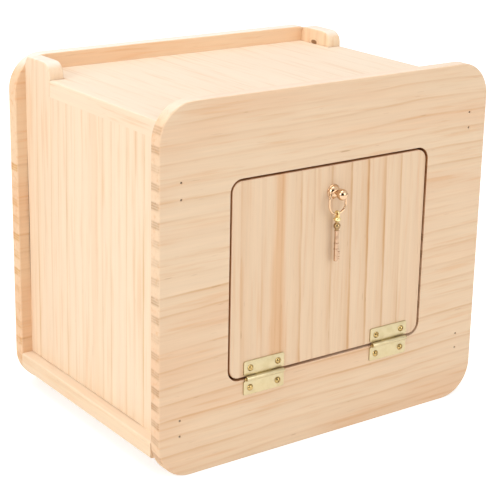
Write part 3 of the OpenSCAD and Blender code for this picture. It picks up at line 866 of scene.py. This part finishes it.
# the neck's pairs are radius and height above the rose in mm: a slight waist, then a flare to the ball
knobSize = {"ball": 3.8 * mm, "neck": 1.5 * mm, "threadPitch": 0.5 * mm, "threadDepth": 0.25 * mm,
            "threadStart": 6.3 * mm, "threadEnd": 0.4 * mm, "endRound": 0.3 * mm,
            "neckLine": ((1.5, 0), (1.42, 0.3), (1.40, 0.8), (1.52, 1.2), (1.72, 1.45))}


# ball, neck and threaded stem, the door's face at height 0
def turnKnob():
    ball, neck, rounding = knobSize["ball"], knobSize["neck"], knobSize["endRound"]
    ballHeight = frontY - knobBox[0].y - ball
    stemEnd = frontY - knobBox[1].y
    ballStart = ballHeight - sqrt(ball ** 2 - neck ** 2) + 0.25 * mm
    line = [(0, stemEnd), (neck - rounding, stemEnd), (neck, stemEnd + rounding)]
    line += reversed(threadOutline(neck, stemEnd + knobSize["threadStart"], stemEnd + knobSize["threadEnd"],
                                   knobSize["threadPitch"], knobSize["threadDepth"]))
    line += [(a * mm, rose["height"] + b * mm) for a, b in knobSize["neckLine"]]
    line += [(a, b) for a, b in arcPoints(0, ballHeight, ball, -90, 90, 30) if b > ballStart]
    return turnOutline("knobBall", line, 48)


knobTurned = turnKnob()
movePiece(knobTurned, (0, frontY, knobZ), toFront)
finishPiece(knobTurned, "door", roseGold, "knob")

washerSize = {"radius": 3.6 * mm, "thick": 0.8 * mm, "bore": 1.62 * mm, "edgeRound": 0.15 * mm}


# punched out, so its outer edge is round below and worn above
def turnWasher():
    r, thick, bore, rounding = (washerSize[key] for key in ("radius", "thick", "bore", "edgeRound"))
    return turnOutline("knobWasher", [(bore, 0), (r - rounding, 0), (r, rounding), (r, thick - 0.2 * mm),
                                      (r - 0.25 * mm, thick), (bore + 0.08 * mm, thick),
                                      (bore - 0.02 * mm, thick - 0.1 * mm), (bore, 0)])


washer = turnWasher()
movePiece(washer, (0, doorInY, knobZ), toBack)
finishPiece(washer, "door", screwBrass, "knob_washer")

nutSize = {"flats": 5.5 * mm, "thick": 2.4 * mm, "chamfer": 0.32 * mm, "chamferWide": 3.3 * mm,
           "bore": 1.52 * mm, "mouth": 1.9 * mm, "mouthDepth": 0.35 * mm, "past": 0.01 * mm}


# six flats, both faces chamfered by a cone, and a bore with two open mouths
def shapeNut():
    flats, thick, chamfer, wide, past = (nutSize[key] for key in (
        "flats", "thick", "chamfer", "chamferWide", "past"))
    bore, mouth, depth = (nutSize[key] for key in ("bore", "mouth", "mouthDepth"))
    deselectAll()
    bpy.ops.mesh.primitive_cylinder_add(vertices=6, radius=flats / sqrt(3), depth=thick,
                                        location=(0, 0, thick / 2))
    nut = nameNew("knobNut")
    applyPlace(nut)
    cone = turnOutline("nutCone", [(0, -past), (flats / 2, -past), (wide, chamfer), (wide, thick - chamfer),
                                   (flats / 2, thick + past), (0, thick + past)])
    cutWith(nut, cone, "INTERSECT")
    drill = turnOutline("nutBore", [(0, -mm), (mouth, -mm), (mouth, 0), (bore, depth), (bore, thick - depth),
                                    (mouth, thick), (mouth, thick + mm), (0, thick + mm)])
    cutWith(nut, drill)
    return nut


nut = shapeNut()
movePiece(nut, (0, doorInY + washerSize["thick"], knobZ), toBack)
finishPiece(nut, "door", screwBrass, "knob_nut", angle=25)
print("knob turned")


# link

link = {"wire": 0.75 * mm, "width": 15.2 * mm}
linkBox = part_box("pull_link")
linkY = (linkBox[0].y + linkBox[1].y) / 2


# an oval of round wire, upright in the plane of the door
def bendLink():
    bendR = link["width"] / 2 - link["wire"]
    upperZ = linkBox[1].z - link["wire"] - bendR
    lowerZ = linkBox[0].z + link["wire"] + bendR
    deselectAll()
    bpy.ops.mesh.primitive_circle_add(vertices=16, radius=link["wire"], location=(bendR, 0, upperZ))
    wire = nameNew("pullLink")
    applyPlace(wire)
    editAll(wire)
    for bendZ, nextZ in ((upperZ, lowerZ), (lowerZ, upperZ)):
        bpy.ops.mesh.spin(steps=26, angle=pi, center=(0, 0, bendZ), axis=(0, 1, 0))
        bpy.ops.mesh.extrude_region_move(TRANSFORM_OT_translate={"value": (0, 0, nextZ - bendZ)})
    bpy.ops.object.mode_set(mode="OBJECT")
    movePiece(wire, (0, linkY, 0))
    closeAndFix(wire, 0.02 * mm)
    return wire


finishPiece(bendLink(), "link", roseGold, "pull_link", angle=60)
print("link hung")


# key

# in mm, heights from where the link's wire passes through the eye; a notch is its height
# over the bit's foot, its depth and how far it gapes
keySize = {"eye": 1.75, "eyeWire": 0.7, "collarTop": -1.8, "beadTop": -5.3, "beadMiddle": -8.3, "beadR": 2.4,
           "beadFoot": -11.0, "stem": 1.35, "rings": (-11.2, -20.0, -24.0), "end": -33, "bareEnd": 1.0,
           "bitReach": 2.85, "bitHigh": 5.5, "bitThick": 1.3, "bitRound": 0.12,
           "notches": ((0.9, 0.8, 0.7), (2.75, 1.1, 1.1), (4.7, 0.7, 0.8))}


def bendEye():
    deselectAll()
    bpy.ops.mesh.primitive_circle_add(vertices=16, radius=keySize["eyeWire"] * mm, rotation=(pi / 2, 0, 0),
                                      location=(0, 0, keySize["eye"] * mm))
    eye = nameNew("keyEye")
    applyPlace(eye)
    editAll(eye)
    bpy.ops.mesh.spin(steps=32, angle=2 * pi, center=(0, 0, 0), axis=(1, 0, 0))
    closeAndFix(eye)
    return eye


# collar, bead, then the stem with three raised rings
def turnStem():
    r, end = keySize["stem"], keySize["end"]
    line = [(0, -1.85), (1.15, -1.95), (1.5, -2.2), (2.45, -3.1), (2.68, -3.5), (2.62, -3.85), (1.9, -4.6),
            (1.35, keySize["beadTop"]), (1.18, -5.9)]
    line += arcPoints(0, keySize["beadMiddle"], keySize["beadR"], 62, -54, 14)
    for ringZ in keySize["rings"]:
        line += [(r, ringZ + 0.1), (r + 0.28, ringZ - 0.08), (r + 0.34, ringZ - 0.4),
                 (r + 0.28, ringZ - 0.72), (r, ringZ - 0.9)]
    line += [(r, end + 0.6), (r - 0.2, end + 0.2), (r - 0.6, end), (0, end)]
    return turnOutline("keyStem", inMm(line), 36)


def sawBit():
    reach, high, thick = (keySize[key] * mm for key in ("bitReach", "bitHigh", "bitThick"))
    foot = (keySize["end"] + keySize["bareEnd"]) * mm
    bit = addBlock("keyBit", (reach / 2, 0, foot + high / 2), (reach, thick, high))
    for up, deep, gape in keySize["notches"]:
        cutWith(bit, addBlock("bitNotch", (reach, 0, foot + up * mm),
                              (2 * deep * mm, 3 * thick, gape * mm)))
    addAndApply(bit, "BEVEL", width=keySize["bitRound"] * mm, segments=2, limit_method="ANGLE",
                angle_limit=radians(40))
    return bit


keyParts = []
for part, material in ((turnStem(), keyGold), (bendEye(), keyBrass), (sawBit(), keyGold)):
    part.data.materials.clear()
    part.data.materials.append(material)
    keyParts.append(part)
keyPiece = joinPieces(keyParts, "hangingKey")
keySlots = keyPiece.data.materials
keySlots.append(keyDark)
for face in keyPiece.data.polygons:            # brass collar, dark bead under it
    height = face.center.z / mm
    if keySize["beadTop"] < height < keySize["collarTop"]:
        face.material_index = keySlots.find(keyBrass.name)
    elif keySize["beadFoot"] < height <= keySize["beadTop"]:
        face.material_index = keySlots.find(keyDark.name)
movePiece(keyPiece, (0, linkY, linkBox[0].z + link["wire"]))
finishPiece(keyPiece, "key", None, "key")
print("key hung")


# nails

# radius and height of the head and shank in mm, the head's middle at height 0
nailLine = [(0, 0.03), (0.4, 0), (0.70, -0.10), (0.75, -0.25), (0.75, -0.72), (0.60, -0.82), (0.58, -1.3),
            (0.6, -28), (0, -30)]


# the middle of each head in a node, from its outermost points along one axis
def nailHeads(nodeName, axis, sign):
    points = [v.co.copy() for v in nodes[nodeName].data.vertices]
    outermost = min(p[axis] * sign for p in points)
    heads = []
    for p in points:
        if p[axis] * sign > outermost + 0.05 * mm:
            continue
        for head in heads:
            if (head[0] - p).length < 3 * mm:
                head.append(p)
                break
        else:
            heads.append([p])
    return [sum(head, Vector()) / len(head) for head in heads]


for nodeName, name, axis, sign, turn in (("front_nails", "frontNails", 1, 1, toFront),
                                         ("back_nails", "backNails", 1, -1, toBack),
                                         ("base_nails", "baseNails", 2, 1, (pi, 0, 0))):
    pieces = []
    for place in nailHeads(nodeName, axis, sign):
        nail = turnOutline("nailPart", inMm(nailLine), 20)
        movePiece(nail, place, turn)
        pieces.append(nail)
    finishPiece(joinPieces(pieces, name), "case", nailSteel, nodeName)
print("nails driven")


# catch and stop fittings, inside

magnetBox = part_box("catch_magnet")
magnet = turnOutline("catchMagnet", inMm([(0, 0), (2.75, 0), (2.93, 0.07), (3, 0.25), (3, 2.75), (2.8, 3),
                                          (0, 3)]), 40)
movePiece(magnet, (0, magnetBox[0].y, (magnetBox[0].z + magnetBox[1].z) / 2), toBack)
finishPiece(magnet, "case", nickelSkin, "catch_magnet")

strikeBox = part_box("strike_plate")
strikePlace = (0, strikeBox[1].y, (strikeBox[0].z + strikeBox[1].z) / 2)
strike = turnOutline("strikePlate", inMm([(0.85, -1), (3.8, -1), (3.8, -0.2), (3.65, 0), (1.68, 0),
                                          (0.85, -0.8), (0.85, -1)]), 44)
movePiece(strike, strikePlace, toBack)
finishPiece(strike, "door", zincSteel, "strike_plate")

sunkScrew = {"slotWidth": 0.6 * mm, "slotDepth": 0.5 * mm, "headEdge": 0.1 * mm, "plainNeck": 1.0 * mm,
             "point": 2.4 * mm, "threadPitch": 0.8 * mm, "threadShare": 0.2}


# countersunk screw, head flush with height 0, pointing down
def turnSunkScrew(name, size, turnDeg):
    radius, head, length, edge = size["shank"], size["head"], size["length"], sunkScrew["headEdge"]
    cone = head - radius
    outline = [(0, 0), (head - edge, 0), (head, -edge), (radius, -cone)]
    outline += threadOutline(radius, -cone - sunkScrew["plainNeck"], sunkScrew["point"] - length,
                             sunkScrew["threadPitch"], radius * sunkScrew["threadShare"])
    outline += [(0, -length)]
    piece = turnOutline(name, outline, 32)
    cutSlot(piece, sunkScrew["slotWidth"], sunkScrew["slotDepth"], 0, head, turnDeg)
    return piece


strikeScrew = turnSunkScrew("strikeScrew", {"shank": 0.8 * mm, "head": 1.6 * mm, "length": 7 * mm}, 30)
movePiece(strikeScrew, strikePlace, toBack)
finishPiece(strikeScrew, "door", zincSteel, "strike_screw", angle=30)

stopScrewSize = {"shank": 1.4 * mm, "head": 2.8 * mm, "length": 19 * mm}
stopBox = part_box("door_stop_screws")
stopScrews = []
for hand, turnDeg in ((-1, 25), (1, -40)):
    piece = turnSunkScrew("stopScrewPart", stopScrewSize, turnDeg)
    movePiece(piece, (hand * (stopBox[1].x - stopScrewSize["head"]), stopBox[1].y,
                      (stopBox[0].z + stopBox[1].z) / 2), toBack)
    stopScrews.append(piece)
stopPair = joinPieces(stopScrews, "doorStopScrews")
finishPiece(stopPair, "case", zincSteel, "door_stop_screws", angle=30)
print("inner fittings set")


# stage, light and camera

stage = {"size": 6, "paper": 0.82, "glow": 0.58}


# paper that also glows by itself where it is looked at, straight or in a reflection
def makeStagePaint():
    material, t = startMaterial("stagePaper")
    t.nodes.remove(t.nodes["Principled BSDF"])
    paper = addNode(t, "ShaderNodeBsdfDiffuse")
    paper.inputs["Color"].default_value = (stage["paper"], stage["paper"], stage["paper"], 1)
    glow = addNode(t, "ShaderNodeEmission")
    glow.inputs["Color"].default_value = (1, 1, 1, 1)
    path = addNode(t, "ShaderNodeLightPath").outputs
    seen = doMath(t, "MAXIMUM", path["Is Camera Ray"], path["Is Glossy Ray"])
    seen = doMath(t, "MAXIMUM", seen, path["Is Transmission Ray"])
    feed(t, glow, "Strength", times(t, seen, stage["glow"]))
    both = addNode(t, "ShaderNodeAddShader")
    t.links.new(paper.outputs[0], both.inputs[0])
    t.links.new(glow.outputs[0], both.inputs[1])
    t.links.new(both.outputs[0], t.nodes["Material Output"].inputs["Surface"])
    return material


deselectAll()
bpy.ops.mesh.primitive_plane_add(size=stage["size"], location=(0, 0, 0))
floor = nameNew("paperFloor")
floor.data.materials.append(makeStagePaint())

# strengths of the world: its light on the object, and the room that polished metal shows
room = {"light": 0.55, "wall": 0.60, "darkCorner": 0.04, "corner": (-0.56, -0.80, 0.20),
        "cornerEdge": 0.78, "cornerFade": 0.08}


def setWorld():
    world = bpy.data.worlds.new("paleRoom")
    bpy.context.scene.world = world
    world.use_nodes = True
    t = world.node_tree
    path = addNode(t, "ShaderNodeLightPath").outputs
    glossy = path["Is Glossy Ray"]
    way = addNode(t, "ShaderNodeTexCoord").outputs["Generated"]
    toCorner = addNode(t, "ShaderNodeVectorMath", operation="DOT_PRODUCT")
    t.links.new(way, toCorner.inputs[0])
    toCorner.inputs[1].default_value = Vector(room["corner"]).normalized()
    edge = room["cornerEdge"]
    corner = fitRange(t, toCorner.outputs["Value"], edge, edge + room["cornerFade"], smooth=True)
    walls = fitRange(t, splitVector(t, way)[2], -0.05, 0.5, room["wall"], 1.0, smooth=True)
    shown = fitRange(t, corner, 0.0, 1.0, walls, room["darkCorner"])
    seen = doMath(t, "MAXIMUM", path["Is Camera Ray"], path["Is Transmission Ray"])
    level = times(t, doMath(t, "MAXIMUM", seen, room["light"]), minus(t, 1.0, glossy))
    level = plus(t, level, times(t, shown, glossy))
    back = t.nodes["Background"]
    back.inputs["Color"].default_value = (1, 1, 1, 1)
    t.links.new(level, back.inputs["Strength"])


setWorld()

lamps = {
    "overhead": {"place": (-0.35, 0.10, 1.9), "size": 1.3, "power": 15, "colour": (1.0, 0.99, 0.97)},
    "leftSide": {"place": (-1.9, -0.2, 0.9), "size": 1.2, "power": 16.5, "colour": (1.0, 0.98, 0.95)},
    "front": {"place": (0.5, -2.0, 1.0), "size": 1.4, "power": 13, "colour": (1.0, 0.98, 0.96)},
}
lampAim = Vector((0, 0, 0.12))                 # the middle of the box
for name, values in lamps.items():
    lamp = bpy.data.lights.new(name, "AREA")
    lamp.size = values["size"]
    lamp.energy = values["power"]
    lamp.color = values["colour"]
    holder = bpy.data.objects.new(name, lamp)
    bpy.context.scene.collection.objects.link(holder)
    holder.location = values["place"]
    holder.rotation_euler = (lampAim - holder.location).to_track_quat("-Z", "Y").to_euler()

view = {"place": (-0.59618, -0.81929, 0.44669), "right": (0.81733, -0.57591, 0.01697),
        "up": (0.15543, 0.24876, 0.95601), "lens": 106.37, "film": 36, "shift": (0.0278, -0.0736),
        "near": 0.05, "far": 20}
eyeData = bpy.data.cameras.new("viewCamera")
eyeData.lens = view["lens"]
eyeData.sensor_width = view["film"]
eyeData.shift_x, eyeData.shift_y = view["shift"]
eyeData.clip_start = view["near"]
eyeData.clip_end = view["far"]
camera = bpy.data.objects.new("viewCamera", eyeData)
bpy.context.scene.collection.objects.link(camera)
right = Vector(view["right"]).normalized()
up = (Vector(view["up"]) - right * right.dot(Vector(view["up"]))).normalized()
turn = Matrix((right, up, right.cross(up))).transposed()
camera.matrix_world = Matrix.Translation(view["place"]) @ turn.to_4x4()
bpy.context.scene.camera = camera
bpy.context.scene.view_settings.view_transform = "Standard"


print("stage, light and camera set")
